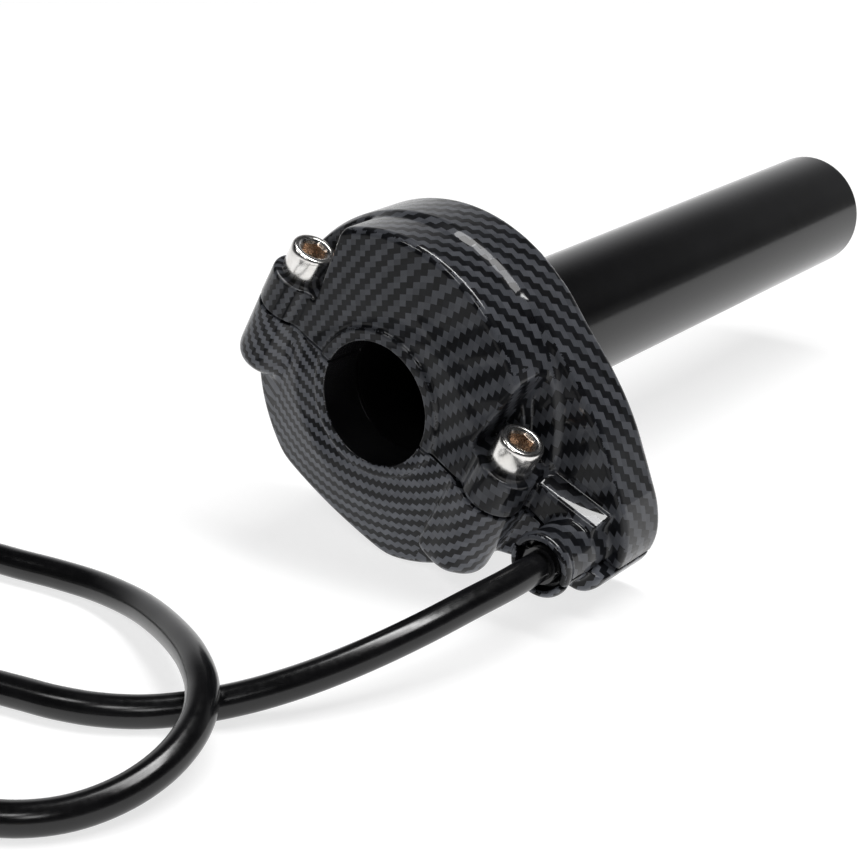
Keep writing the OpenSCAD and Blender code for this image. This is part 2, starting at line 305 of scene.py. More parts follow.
upper_carbon = carbon_material("carbon_lacquer", 0.044, 0.09, 0.64)
lower_carbon_painted_bounce = carbon_material("carbon_lacquer_lower_painted_bounce", 0.088, 0.15, 0.7)
moulding = surface("moulded_black", (0.006, 0.006, 0.007), (0.012, 0.012, 0.013), (0.16, 0.26), 120,
                   relief=0.01, coat=0.3)
tube_black = surface("tube_black", (0.004, 0.004, 0.0043), (0.006, 0.006, 0.0064), (0.12, 0.17), 70,
                     relief=0.008, grain=1500, specular=0.42)
jacket = surface("cable_jacket", (0.003, 0.003, 0.0034), (0.006, 0.006, 0.0066), (0.16, 0.24), 150,
                 relief=0.012, grain=500)
steel = surface("polished_steel", (0.74, 0.72, 0.69), (0.86, 0.845, 0.825), (0.16, 0.26), 300, metallic=1.0,
                relief=0.004, grain=1800)
socket_steel = surface("socket_steel", (0.50, 0.40, 0.32), (0.68, 0.57, 0.48), (0.2, 0.35), 500, metallic=1.0,
                       relief=0.01, grain=2500)
brass = surface("turned_brass", (0.55, 0.38, 0.14), (0.72, 0.52, 0.24), (0.18, 0.32), 400, metallic=1.0,
                relief=0.006, grain=2500)
zinc = surface("zinc_plate", (0.52, 0.52, 0.53), (0.68, 0.68, 0.7), (0.22, 0.36), 350, metallic=1.0,
               relief=0.008, grain=2200)
wire_steel = surface("wire_steel", (0.36, 0.36, 0.36), (0.6, 0.6, 0.6), (0.25, 0.4), 900, metallic=1.0,
                     relief=0.01, grain=4000)
rubber = surface("boot_rubber", (0.010, 0.010, 0.010), (0.02, 0.02, 0.021), (0.5, 0.65), 250, relief=0.03,
                 grain=1600)
nylon = surface("natural_nylon", (0.62, 0.6, 0.54), (0.74, 0.72, 0.67), (0.35, 0.5), 200, relief=0.02,
                grain=1200)
strap_black = surface("strap", (0.012, 0.012, 0.013), (0.025, 0.025, 0.027), (0.4, 0.55), 400, relief=0.05,
                      grain=3000, stretch=(1, 6, 6))

# ---------------------------------------------------------------- cable

# The route repeats the part's own, from the ferrule to the coil
ROUTE = [
    (-1, BOSS_Y, BOSS_Z), (-9, -35.8, -20.2), (-18, -34.4, -20.8), (-27, -32.4, -21.9),
    (-35, -29.6, -23.3), (-42, -26.2, -24.8), (-48, -22.4, -26.2), (-53.5, -18, -27.5),
    (-59, -12.8, -28.5), (-64, -7.6, -28.85), (-68, -1.4, -28.85), (-70.5, 5.4, -28.85),
    (-72, 12.4, -28.85), (-73.8, 20, -28.85), (-77.2, 29, -28.85), (-82.3, 37.6, -28.85),
    (-86.6, 44.4, -28.85), (-87.8, 51.5, -28.85), (-86.2, 59.9, -28.85), (-81.9, 66.7, -28.85),
    (-75.2, 71.9, -28.85), (-67, 74.2, -28.85), (-58.4, 73.3, -28.85), (-50.9, 69.2, -28.85),
    (-45.2, 62.6, -28.85), (-42.6, 55, -28.85), (-41.3, 46.8, -28.85), (-39.9, 38, -28.8),
    (-39.5, 28.5, -28.5), (-41.6, 17.5, -27.4), (-46, 6.8, -25.7), (-51.8, -4, -23.9),
    (-57.2, -12.2, -23), (-61.7, -17.5, -23.4), (-67.9, -21.8, -24.5), (-75.4, -23.8, -26),
    (-83.2, -23.1, -27.4), (-90.3, -19.8, -28.4), (-95.8, -14.3, -28.8), (-99.1, -7.2, -28.85),
    (-100.1, 1, -28.85), (-100.1, 9.5, -28.85), (-99.3, 20, -28.85), (-97.6, 31, -28.85),
    (-96.2, 43.5, -28.85),
]
COIL_CENTRE = (-125.35, 43.5)
COIL_OUTER, COIL_INNER = 29.15, 23.85  # radii of the two turns that lie side by side
LAYER_LOW, LAYER_HIGH = -28.85, -23.55
COIL_TURN = 900  # degrees
# The far end lies where the coil leaves off, with its hexagons resting on the ground
FAR_X = COIL_CENTRE[0] - COIL_OUTER
FAR_Z = GROUND + 5.2 * math.sin(math.radians(60))
SHEATH_END = 28.0
PATH_STEP = 1.2


def ease(t):
    """Goes from 0 to 1 with a soft start and a soft end."""
    t = min(max(t, 0.0), 1.0)
    return t * t * (3 - 2 * t)


def catmull(points, step):
    """A smooth curve through the points."""
    p = np.array([points[0], *points, points[-1]], float)
    out = []
    for i in range(1, len(p) - 2):
        a, b, c, d = p[i - 1:i + 3]
        n = max(2, int(np.linalg.norm(c - b) / step))
        for t in np.arange(n) / n:
            out.append(0.5 * (2 * b + (c - a) * t + (2 * a - 5 * b + 4 * c - d) * t * t
                              + (3 * b - a - 3 * c + d) * t ** 3))
    out.append(p[-2])
    return out


def coil_point(turned_by):
    """Round the outside of the coil, in, up, and out again, anticlockwise from above."""
    inward = ease((turned_by - 20) / 130)
    outward = ease((turned_by - 600) / 130)
    rise = ease((turned_by - 300) / 110)
    r = COIL_OUTER + (COIL_INNER - COIL_OUTER) * (inward - outward)
    angle = math.radians(turned_by)
    z = LAYER_LOW + (LAYER_HIGH - LAYER_LOW) * rise
    return (COIL_CENTRE[0] + r * math.cos(angle), COIL_CENTRE[1] + r * math.sin(angle), z)


def far_point(y):
    """Down from the coil to the height of the end fitting."""
    return (FAR_X, COIL_CENTRE[1] - y, LAYER_HIGH + (FAR_Z - LAYER_HIGH) * ease((y - 2) / 24.5))


cable_path = catmull(ROUTE, PATH_STEP)
cable_path += [coil_point(a) for a in np.arange(3, COIL_TURN, 3)]
cable_path += [far_point(y) for y in np.arange(0, SHEATH_END + 0.01, PATH_STEP)]
cable_path = np.array(cable_path)
verts, faces = loft(sweep(cable_path, CABLE_R, 24))
cable = add_mesh("cable", verts, faces, [jacket])
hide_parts("throttle_cable", "cable_coil", "cable_far_end")


# ---------------------------------------------------------------- far end of the cable

def at_far(across, up, y):
    """From the coil, y runs towards -Y along the cable's end."""
    y = np.broadcast_to(np.asarray(y, float), np.shape(across))
    return np.stack([FAR_X - across, COIL_CENTRE[1] - y, FAR_Z - up], axis=-1)


def fitting(name, stations, radius, sides, material, replaces, body="housing", bored=False):
    """A turned piece on the cable's end; a bored one is open right through."""
    v, f = loft(turned(stations, radius, sides, at_far), closed=bored)
    obj = add_mesh(name, v, f, [material], body)
    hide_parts(replaces)


HEX_FLAT, HEX_CORNER = 4.48, 5.19
WIRE_BORE, NUT_BORE = 1.1, 2.62
CRIMPS = (28.6, 30.1)
RIBS_FROM, RIBS_TO, RIB_PITCH = 34.2, 41, 1.7
THREAD_FROM, THREAD_TO, THREAD_R, RELIEF_R = 52.5, 58.5, 3.0, 2.55
THREAD_PITCH, THREAD_DEPTH = 1.0, 0.5


def hexagon(angle, flat):
    """Radius of a hexagon that is flat from its middle to each side."""
    return flat / np.cos((angle + math.pi / 6) % (math.pi / 3) - math.pi / 6)


def crimp(angle, station):
    y, r = station
    pinch = 0.14 * sum(math.exp(-((y - c) / 0.5) ** 2) for c in CRIMPS)
    return np.full(len(angle), r - pinch)


ferrule_line = [(27, 2.66), (27, 2.75), (27.06, 2.8)] + [(y, 2.8) for y in np.arange(27.2, 42.8, 0.2)]
ferrule_line += [(42.9, 2.75), (43, 2.6), (43, WIRE_BORE), (28.3, WIRE_BORE)]
fitting("far_ferrule", ferrule_line, crimp, 40, zinc, "end_ferrule")


def boot_ribs(angle, station):
    y, r = station
    if RIBS_FROM < y < RIBS_TO:
        r += 0.3 * math.cos(2 * math.pi * (y - RIBS_FROM) / RIB_PITCH) - 0.08
    return np.full(len(angle), r)


boot_line = rounded_profile([(31, 2.84), (31, 3.5), (33.4, 3.75), (34.1, 4.2), (41.1, 4.2), (42, 3.8),
                             (43, 3.8), (43, 2.84)], 0.4)
BOOT_STEP = 0.15
boot_stations = []
for a, b in zip(boot_line, boot_line[1:]):
    n = max(1, int(abs(b[0] - a[0]) / BOOT_STEP))
    boot_stations += [(a[0] + (b[0] - a[0]) * t / n, a[1] + (b[1] - a[1]) * t / n) for t in range(n)]
boot_stations.append(boot_line[-1])
fitting("far_boot", boot_stations, boot_ribs, 40, rubber, "adjuster_boot", bored=True)


def on_hexagon(angle, station):
    """The hexagon, with its corners turned off where the station's radius is less than theirs."""
    return np.minimum(hexagon(angle + math.pi / 6, HEX_FLAT), station[1])


def adjuster_shape(angle, station):
    y, r = station
    if r > 3.6:
        return on_hexagon(angle, station)
    if y > THREAD_FROM - 0.1 and r > RELIEF_R + 0.05:
        thread = np.abs(((y - angle / (2 * math.pi)) % THREAD_PITCH) * 2 - 1)
        return r - THREAD_DEPTH * thread * min(1.0, (THREAD_TO - 0.1 - y) / 0.8 + 0.2)
    return np.full(len(angle), r)


barrel = [(43.05, WIRE_BORE), (43.05, 4.0), (43.2, 4.5), (43.6, HEX_CORNER), (46.9, HEX_CORNER), (47.3, 4.6),
          (47.5, 4.2), (47.5, RELIEF_R), (52.1, RELIEF_R)]
barrel += [(y, THREAD_R) for y in np.arange(THREAD_FROM, 58.1, 0.1)]
barrel += [(58.2, 2.9), (THREAD_TO, 2.5), (THREAD_TO, WIRE_BORE), (46, WIRE_BORE)]
fitting("adjuster", barrel, adjuster_shape, 72, zinc, "adjuster_barrel", bored=True)

nut = [(49.5, NUT_BORE), (49.5, 4.2), (49.6, 4.6), (49.95, HEX_CORNER), (51.55, HEX_CORNER), (51.9, 4.6),
       (52, 4.2), (52, NUT_BORE)]
v, f = loft(turned(nut, on_hexagon, 72, at_far), closed=True)
locknut = add_mesh("locknut", v, f, [zinc])
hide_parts("adjuster_locknut")


STRAND_R, STRAND_OUT, STRAND_LAY = 0.255, 0.49, 7.0


def strands(points_per_mm, y0, y1):
    """Seven twisted strands: one core with six round it."""
    verts, faces = [], []
    ys = np.linspace(y0, y1, int((y1 - y0) * points_per_mm))
    angle = np.linspace(0, 2 * math.pi, 8, endpoint=False)
    for k in range(7):
        out = 0 if k == 0 else STRAND_OUT
        turn = 2 * math.pi * ys / STRAND_LAY + k * math.pi / 3
        rings = [at_far(out * math.cos(t) + STRAND_R * np.cos(angle),
                        out * math.sin(t) + STRAND_R * np.sin(angle), y)
                 for y, t in zip(ys, turn)]
        v, f = loft(rings)
        faces += [tuple(i + len(verts) for i in q) for q in f]
        verts += v.tolist()
    return verts, faces


v, f = strands(3, 56.5, 87.5)
wire_end = add_mesh("far_wire", v, f, [wire_steel], "inner_wire")
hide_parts("inner_wire_end")

nipple_line = rounded_profile([(87, 0.74), (87, 1.96), (91, 1.96), (91, 0.02)], 0.35)
fitting("far_nipple", nipple_line, profile_radius, 40, brass, "carb_nipple", "inner_wire")

# The strap goes round the coil's section at the middle of its turns
STRAP_X, STRAP_Y = COIL_CENTRE[0], COIL_CENTRE[1] + (COIL_OUTER + COIL_INNER) / 2
STRAP_HALF_W, STRAP_TOP, STRAP_T = 5.62, GROUND + 11.15, 0.55
STRAP_LIFT = 0.28  # keeps its lower run above the ground


def strap_outline(grow):
    """Rounded rectangle round the coil's section, the same number of points at any size."""
    hw, hh, r = STRAP_HALF_W + grow, (STRAP_TOP - GROUND) / 2 + grow - STRAP_LIFT, 1.9 + grow
    mid = (STRAP_TOP + GROUND) / 2 + STRAP_LIFT
    pts = []
    for cx, cz, start in ((1, 1, 0), (-1, 1, 90), (-1, -1, 180), (1, -1, 270)):
        for t in np.linspace(0, 90, 24):
            a = math.radians(start + t)
            pts.append((cx * (hw - r) + r * math.cos(a), mid + cz * (hh - r) + r * math.sin(a)))
    return pts


rings = []
for dx, grow in ((-3, 0), (-3, 0.3), (-2.85, 0.52), (-2.5, STRAP_T),
                 (2.5, STRAP_T), (2.85, 0.52), (3, 0.3), (3, 0)):
    rings.append([(STRAP_X + dx, STRAP_Y + y, z) for y, z in strap_outline(grow - 0.25)])
v, f = loft(rings, closed=True)
strap = add_mesh("coil_strap", v, f, [strap_black])
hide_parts("coil_tie")


# ---------------------------------------------------------------- housing halves as distance fields

def soft_min(a, b, k):
    """The lower of two distances, which joins two solids with a fillet about k wide."""
    h = np.maximum(k - np.abs(a - b), 0) / k
    return np.minimum(a, b) - h * h * k * 0.25


def soft_max(a, b, k):
    """The higher of two distances, which keeps what two solids share."""
    return -soft_min(-a, -b, k)


def polygon_distance(points, u, v):
    """Signed distance to a polygon, negative inside."""
    pts = np.asarray(points, float)
    best = np.full(np.broadcast(u, v).shape, 1e9)
    inside = np.zeros(best.shape, bool)
    for (ax, ay), (bx, by) in zip(pts, np.roll(pts, -1, axis=0)):
        ex, ey = bx - ax, by - ay
        t = np.clip(((u - ax) * ex + (v - ay) * ey) / (ex * ex + ey * ey), 0, 1)
        best = np.minimum(best, (u - ax - t * ex) ** 2 + (v - ay - t * ey) ** 2)
        crosses = (ay > v) != (by > v)
        with np.errstate(divide="ignore", invalid="ignore"):
            inside ^= crosses & (u < ax + (v - ay) * ex / (ey if ey else 1e-9))
    best = np.sqrt(best)
    return np.where(inside, -best, best)


def round_polygon(points, radii):
    """A closed outline with a radius of its own at each corner."""
    pts = [np.array(p, float) for p in points]
    out = []
    for k, b in enumerate(pts):
        out += rounded_corner(pts[k - 1], b, pts[(k + 1) % len(pts)], radii[k], 0.48, 6) if radii[k] else [b]
    return np.array(out)


class Revolved:
    """Distance to a profile of (radius, along X) turned round the X axis, from a fine table."""
    STEP = 0.05
    REACH, X_FROM, X_TO = 62, -4, 27

    def __init__(self, points, radii):
        r = np.arange(0, self.REACH, self.STEP)
        x = np.arange(self.X_FROM, self.X_TO, self.STEP)
        self.table = polygon_distance(round_polygon(points, radii), r[:, None], x[None, :])

    def __call__(self, r, x):
        fr, fx = r / self.STEP, (x - self.X_FROM) / self.STEP
        i = np.clip(fr.astype(int), 0, self.table.shape[0] - 2)
        j = np.clip(fx.astype(int), 0, self.table.shape[1] - 2)
        tr, tx = fr - i, fx - j
        t = self.table
        return ((t[i, j] * (1 - tr) + t[i + 1, j] * tr) * (1 - tx)
                + (t[i, j + 1] * (1 - tr) + t[i + 1, j + 1] * tr) * tx)


BACK = 23.5
upper_profile = Revolved(
    [(-9, 0), (13.35, 0), (13.8, 0.75), (19.6, 0.55), (30.0, 1.5), (30.68, 2.5), (30.7, 10.4), (31.5, 12.7),
     (31.5, BACK), (-9, BACK)],
    [0, 0.35, 0.5, 2.5, 0.9, 0.9, 0.5, 0.5, 0.9, 0])
lower_profile = Revolved(
    [(-9, 0), (13.35, 0), (13.8, 0.75), (18.4, 0.6), (31.1, 4.7), (31.35, 7), (31.45, BACK), (-9, BACK)],
    [0, 0.35, 0.5, 0.9, 2.2, 1.5, 0.9, 0])
UPPER_EAR = round_polygon(
    [(-4, -6), (-9, 30.05), (-22.7, 25.2), (-33.2, 19.9), (-46.3, 8.6), (-49.3, 3.5), (-49.5, -6)],
    [0, 3, 5, 6, 5, 3, 0])
LOWER_EAR = round_polygon(
    [(-4, 6), (-49.4, 6), (-49.4, -2.4), (-47.2, -6.1), (-37.5, -7.9), (-27, -14)],
    [0, 0, 2.5, 3, 4, 3])
POST_X, POST_Y, POST_R = 4.1, 25.7, 5.5
SEAT = 7.5  # height of the screws' seats over the parting plane
SCREW_HOLE_R, INSERT_HOLE_R, INSERT_FOOT = 2.7, 3.35, -12.5
GAP = 0.2  # from the parting plane to either half
BORE_R, BORE_END = 11.25, 10.3
ROOM_R, ROOM_MID, ROOM_HALF = 24.5, 15.25, 5.95
TUBE_WAY_R, TUBE_WAY_FROM = 12.95, 19
FERRULE_R, FERRULE_END = 3.4, 6.1
MOUTH_R, MOUTH_END = 4.45, 1.0
GUIDE_R, GUIDE_X, GUIDE_BEND = 2.05, 6.5, 8.5
FLAT_Z = -28.3  # the lower half's flat bottom


def elbow_points():
    """Centre line of the wire's guide, in the split frame, from the boss into the case."""
    pts = [(GUIDE_X, BOSS_Y, BOSS_Z)]
    for a in np.radians(np.linspace(-90, 0, 7)):
        pts.append((GUIDE_X + GUIDE_BEND * math.cos(a), BOSS_Y + GUIDE_BEND * (1 + math.sin(a)), BOSS_Z))
    pts.append((GUIDE_X + GUIDE_BEND, -18, BOSS_Z))
    return [(x, COS_T * y + SIN_T * z, -SIN_T * y + COS_T * z) for x, y, z in pts]


def chain(x, y, z, points, r):
    """Distance to a round rod along a chain of points."""
    best = None
    for a, b in zip(points, points[1:]):
        a, d = np.array(a), np.array(b) - np.array(a)
        n = float(d @ d)
        if n < 1e-6:
            continue
        t = np.clip(((x - a[0]) * d[0] + (y - a[1]) * d[1] + (z - a[2]) * d[2]) / n, 0, 1)
        q = (x - a[0] - t * d[0]) ** 2 + (y - a[1] - t * d[1]) ** 2 + (z - a[2] - t * d[2]) ** 2
        best = q if best is None else np.minimum(best, q)
    return np.sqrt(best) - r


ELBOW = elbow_points()


def hollow_out(body, x, y, z, r):
    """Cuts the bore, the drum's room and the wire's way."""
    bore = soft_max(r - BORE_R, x - BORE_END, 0.4)
    room = soft_max(r - ROOM_R, np.abs(x - ROOM_MID) - ROOM_HALF, 0.6)
    tube_way = soft_max(r - TUBE_WAY_R, TUBE_WAY_FROM - x, 0.4)
    from_boss = np.hypot(y - BOSS_REACH, z)
    ferrule = soft_max(from_boss - FERRULE_R, x - FERRULE_END, 0.3)
    mouth = soft_max(from_boss - MOUTH_R, x - MOUTH_END, 0.5)
    guide = chain(x, y, z, ELBOW, GUIDE_R)
    for k, cut in ((0.45, bore), (0.5, room), (0.45, tube_way), (0.2, ferrule), (0.9, mouth), (0.2, guide)):
        body = soft_max(body, -cut, k)
    return body


def boss(x, y, z):
    """The round neck and lip at the cable's mouth, and the bend behind them."""
    from_boss = np.hypot(y - BOSS_REACH, z)
    neck = soft_max(soft_max(from_boss - 5.3, -0.6 - x, 0.8), x - 13, 0.5)
    lip = soft_max(from_boss - 5.85, np.abs(x + 0.1) - 1.4, 1.6)
    bend = soft_max(chain(x, y, z, ELBOW[:5], 5.25), x - 14, 0.5)
    return soft_min(soft_min(neck, bend, 0.8), lip, 0.7)


def upper_half(x, y, z):
    """Distance to the upper half: the case, less the screws' pockets, with its ear, posts, ledge and boss."""
    r = np.hypot(y, z)
    body = upper_profile(r, x)
    side = np.abs(y)
    depth = soft_min(x - 8.4, soft_max(x - 10.9, 26 - r, 0.8), 0.6)
    pocket = soft_max(soft_max(depth, 19.4 - side + 0.12 * (z - SEAT), 1.6), SEAT - 0.25 - z, 1.2)
    body = soft_max(body, -pocket, 0.7)
    ear = soft_max(soft_max(polygon_distance(UPPER_EAR, y, z), 12.0 - x, 1.2), x - BACK, 1.6)
    body = soft_min(body, ear, 0.9)
    from_post = np.hypot(x - POST_X, side - POST_Y)
    post = soft_max(from_post - POST_R, z - SEAT, 0.7)
    back_web = soft_max(soft_max(side - 29.6, 21 - side, 1),
                        soft_max(z - SEAT + 0.3, np.abs(x - 8) - 4.5, 0.8), 0.8)
    body = soft_min(soft_min(body, post, 1.0), back_web, 1.2)
    ledge = soft_max(soft_max(np.abs(y + 35) - 8.4, z - 6.6 - 0.38 * (x - 9.5) + 0.1 * (y + 35), 0.5),
                     soft_max(7.8 - x, x - 13, 0.5), 0.8)
    body = soft_min(body, ledge, 0.9)
    body = soft_min(body, boss(x, y, z), 1.1)
    body = soft_max(body, GAP - z, 0.35)
    seat_hole = soft_max(from_post - SCREW_HOLE_R, -z - 1, 0.2)
    body = soft_max(body, -seat_hole, 0.3)
    return hollow_out(body, x, y, z, r)


def lower_half(x, y, z):
    """Distance to the lower half: the case with its flat, ear, two unlike screw posts and boss."""
    r = np.hypot(y, z)
    body = lower_profile(r, x)
    ear = soft_max(soft_max(polygon_distance(LOWER_EAR, y, z), 7.6 - x, 1.8), x - BACK, 1.8)
    body = soft_min(body, ear, 1.6)
    body = soft_max(body, FLAT_Z - z, 1.6)
    left = soft_max(np.hypot(x - POST_X, y - POST_Y) - POST_R, -14 - z, 4.0)
    right_foot = -16.4 - 0.12 * (y + POST_Y)
    right = soft_max(np.hypot(x - POST_X, y + POST_Y) - POST_R - 0.05, right_foot - z, 3.2)
    web = soft_max(soft_max(np.abs(y + 23.5) - 4.2, right_foot - z, 2.5), np.abs(x - 5) - 5.3, 1.8)
    body = soft_min(soft_min(body, left, 1.3), soft_min(right, web, 1.2), 1.1)
    body = soft_min(body, boss(x, y, z), 1.1)
    body = soft_max(body, z + GAP, 0.35)
    from_post = np.hypot(x - POST_X, np.abs(y) - POST_Y)
    hole = soft_max(from_post - INSERT_HOLE_R, INSERT_FOOT - z, 0.2)
    body = soft_max(body, -hole, 0.3)
    return hollow_out(body, x, y, z, r)


def surface_net(field, low, high, cell):
    """Quads over the zero surface of a field, with each point then moved on to the surface."""
    axes = [np.arange(a, b + cell, cell) for a, b in zip(low, high)]
    x, y, z = axes[0][:, None, None], axes[1][None, :, None], axes[2][None, None, :]
    slabs = [x[i:i + 8] for i in range(0, len(axes[0]), 8)]
    f = np.concatenate([np.broadcast_to(field(slab, y, z), (len(slab), len(axes[1]), len(axes[2])))
                        for slab in slabs])
    inside = f < 0
    total = np.zeros([n - 1 for n in f.shape], np.int8)
    corners = [(a, b, c) for a in (0, 1) for b in (0, 1) for c in (0, 1)]
    for a, b, c in corners:
        total += inside[a:f.shape[0] - 1 + a, b:f.shape[1] - 1 + b, c:f.shape[2] - 1 + c]
    active = (total > 0) & (total < 8)
    cells = np.argwhere(active)
    index = np.full(active.shape, -1, np.int64)
    index[active] = np.arange(len(cells))
    spot, hits = np.zeros((len(cells), 3)), np.zeros(len(cells))
    for a in corners:
        for axis in range(3):
            if a[axis]:
                continue
            b = list(a)
            b[axis] = 1
            fa = f[tuple((cells + a).T)]
            fb = f[tuple((cells + b).T)]
            cut = (fa < 0) != (fb < 0)
            t = np.where(cut, fa / np.where(cut, fa - fb, 1), 0)
            p = np.array(a, float) + t[:, None] * (np.array(b, float) - np.array(a, float))
            spot[cut] += p[cut]
            hits[cut] += 1
    points = np.array(low) + cell * (cells + spot / hits[:, None])
    quads = []
    for axis, (p, q) in enumerate(((1, 2), (2, 0), (0, 1))):
        lo = [slice(1, -1)] * 3
        hi = list(lo)
        lo[axis], hi[axis] = slice(0, -1), slice(1, None)
        change = inside[tuple(lo)] != inside[tuple(hi)]
        at = np.argwhere(change)
        outward = inside[tuple(lo)][change]
        base = at + 1
        base[:, axis] -= 1
        ring = []
        for dp, dq in ((1, 1), (0, 1), (0, 0), (1, 0)):
            c = base.copy()
            c[:, p] -= dp
            c[:, q] -= dq
            ring.append(index[tuple(c.T)])
        ring = np.stack(ring, axis=1)
        quads.append(np.where(outward[:, None], ring, ring[:, ::-1]))
    quads = np.concatenate(quads)
    for _ in range(3):
        value, slope = gradient(field, points)
        size = np.maximum((slope ** 2).sum(1), 0.2)
        move = -(value / size)[:, None] * slope
        length = np.linalg.norm(move, axis=1)
        points = points + move * np.minimum(1, 0.3 * cell / np.maximum(length, 1e-9))[:, None]
    _, slope = gradient(field, points)
    normals = slope / np.maximum(np.linalg.norm(slope, axis=1), 1e-9)[:, None]
    return points, quads, normals


def gradient(field, p):
    """The field at the points, and its slope there."""
    e = 0.04
    x, y, z = p.T
    g = np.stack([field(x + e, y, z) - field(x - e, y, z), field(x, y + e, z) - field(x, y - e, z),
                  field(x, y, z + e) - field(x, y, z - e)], axis=1) / (2 * e)
    return field(x, y, z), g


# Width of one band of the weave and length of one of its teeth, and how much larger both are on the rim
BAND, TOOTH, RIM_SCALE = 2.25, 1.5, 1.42
RIM_LEAN = math.radians(32)
# On the upper face the bands run steep to one side of a fold and flatter to the other
FOLD_A, FOLD_B, FOLD_WIDTH = 10, 12, 22
STEEP_ACROSS, STEEP_ALONG = (-0.80, 0.60), (0.60, 0.80)
FLAT_ACROSS, FLAT_ALONG = (-0.125, 0.45), (0.96, 0.27)
# On the lower face they run in rings about a point over the bar
RINGS_B, RINGS_R = 20, 38
UPPER_RIM_R, LOWER_RIM_R = 31.6, 31.5


def on_post(x, y):
    return (np.hypot(x - POST_X, np.abs(y) - POST_Y) < POST_R + 0.9) & (x < 8.2)


def film(p, is_upper, wrap=False):
    """Coordinates along and across the weave's bands, on the faces and on the rim, as the film was laid on.
    With wrap, the face's film goes round the screw posts."""
    x, y, z = p.T
    if wrap:
        y = np.sign(y) * (POST_Y + POST_R * np.arctan2(np.abs(y) - POST_Y, POST_X - x))
    a, b = -(COS_T * y - SIN_T * z), SIN_T * y + COS_T * z
    if is_upper:
        p, q = a - FOLD_A, b - FOLD_B
        steep = STEEP_ACROSS[0] * p + STEEP_ACROSS[1] * q
        flat = FLAT_ACROSS[0] * p + FLAT_ACROSS[1] * q
        face_across = soft_max(steep, flat, FOLD_WIDTH)
        share = np.clip(0.5 + (flat - steep) / FOLD_WIDTH, 0, 1)
        share = share * share * (3 - 2 * share)
        face_along = ((STEEP_ALONG[0] * p + STEEP_ALONG[1] * q) * (1 - share)
                      + (FLAT_ALONG[0] * p + FLAT_ALONG[1] * q) * share)
        on_ear = 21.6 - 0.82 * (y + 20) - 0.575 * (z - 24.5)
        rim_s = np.where(y > -20, UPPER_RIM_R * np.arctan2(-y, z), on_ear)
    else:
        face_along = RINGS_R * np.arctan2(a, RINGS_B - b)
        face_across = np.hypot(a, b - RINGS_B)
        on_ear = -LOWER_RIM_R * 0.866 + 1.1 * (y + 24) + 0.3 * (z + 20.4)
        rim_s = np.where(y > -24, LOWER_RIM_R * np.arctan2(y, -z), on_ear)
    rim_along = rim_s * math.cos(RIM_LEAN) + x * math.sin(RIM_LEAN)
    rim_across = x * math.cos(RIM_LEAN) - rim_s * math.sin(RIM_LEAN)
    return (np.stack([face_along / TOOTH, face_across / BAND], axis=1),
            np.stack([rim_along / TOOTH, rim_across / BAND], axis=1) / RIM_SCALE)


def build_half(name, field, is_upper, cell):
    """One half's mesh, with bare moulding in its cavities and the film everywhere else."""
    z0, z1 = (-0.6, 32.4) if is_upper else (-29.4, 0.6)
    points, quads, normals = surface_net(field, (-2.4, -50.6, z0), (24.4, 32.6, z1), cell)
    x, y, z = points[quads].mean(axis=1).T
    facing = normals[quads].mean(axis=1)[:, 0]
    radius = np.hypot(y, z)
    hidden = (radius < ROOM_R - 0.1) & (x > 9.1) & (x < 21.4)
    hidden |= (radius < BORE_R + 0.5) & (facing > -0.6)
    hidden |= (radius < 13.4) & (x > 20)
    hidden |= (np.hypot(y - BOSS_REACH, z) < 4.6) & (x > -0.9) & (x < 7)
    on_face, on_rim = film(points, is_upper)
    post = on_post(x, y)
    rim = (np.abs(facing) < 0.62) & ~post
    corner = quads.reshape(-1)
    uv = np.where(np.repeat(rim, 4)[:, None], on_rim[corner], on_face[corner])
    post = np.repeat(post, 4)
    uv[post] = film(points, is_upper, wrap=True)[0][corner[post]]
    # The lower half takes the copy whose grey tows carry painted light from the floor's bounce.
    skin = upper_carbon if is_upper else lower_carbon_painted_bounce
    obj = add_mesh(name, to_row(*points.T), quads.tolist(), [skin, moulding],
                   face_slots=hidden.astype(int), normals=to_row(*normals.T))
    layer = obj.data.uv_layers.new(name="weave")
    layer.data.foreach_set("uv", uv.reshape(-1).astype(np.float32))
    return obj


CELL = 0.36
upper = build_half("upper_shell", upper_half, True, CELL)
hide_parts("upper_housing")
lower = build_half("lower_shell", lower_half, False, CELL)
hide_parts("lower_housing")


# ---------------------------------------------------------------- clamp screws

def screw_place(side):
    """Puts a turned shape's rings on the seat of one side's screw."""
    def place(across, up, height):
        h = np.broadcast_to(np.asarray(height, float), np.shape(across))
        return to_row(POST_X + across, side * POST_Y + up, SEAT + h)
    return place


def screw_shape(angle, station):
    """A negative radius stands for the hexagon of that size across its flats."""
    r = station[1]
    return hexagon(angle, -r) if r < 0 else np.full(len(angle), r)


# Up the shank and over the head, then down the socket and its drilled bottom
HEAD = [(-18, 1.9), (-17.4, 2.45), (-0.2, 2.45), (0, 2.6), (0.0, 3.75), (0.06, 3.97), (0.25, 4.1),
        (4.9, 4.1), (5.35, 4.05), (5.68, 3.89), (5.84, 3.65), (5.9, 3.35), (5.9, 2.95), (5.82, 2.8),
        (5.5, 2.5), (5.35, -2.15), (5.2, -2.0), (3.0, -1.98), (2.85, -1.9), (2.6, 0.05)]
SOCKET_FROM = 14  # the station where the socket begins
SCREW_SIDES = 72
verts, faces, slots = [], [], []
for side in (-1, 1):
    v, f = loft(turned(HEAD, screw_shape, SCREW_SIDES, screw_place(side)))
    faces += [tuple(i + len(verts) for i in q) for q in f]
    slots += [1 if min(q) >= SOCKET_FROM * SCREW_SIDES else 0 for q in f]
    verts += v.tolist()
screws = add_mesh("socket_screws", verts, faces, [steel, socket_steel], face_slots=slots)
edge = screws.modifiers.new("crisp", "EDGE_SPLIT")
edge.split_angle = math.radians(40)
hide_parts("clamp_screws")

# ---------------------------------------------------------------- parts kept from the CAD

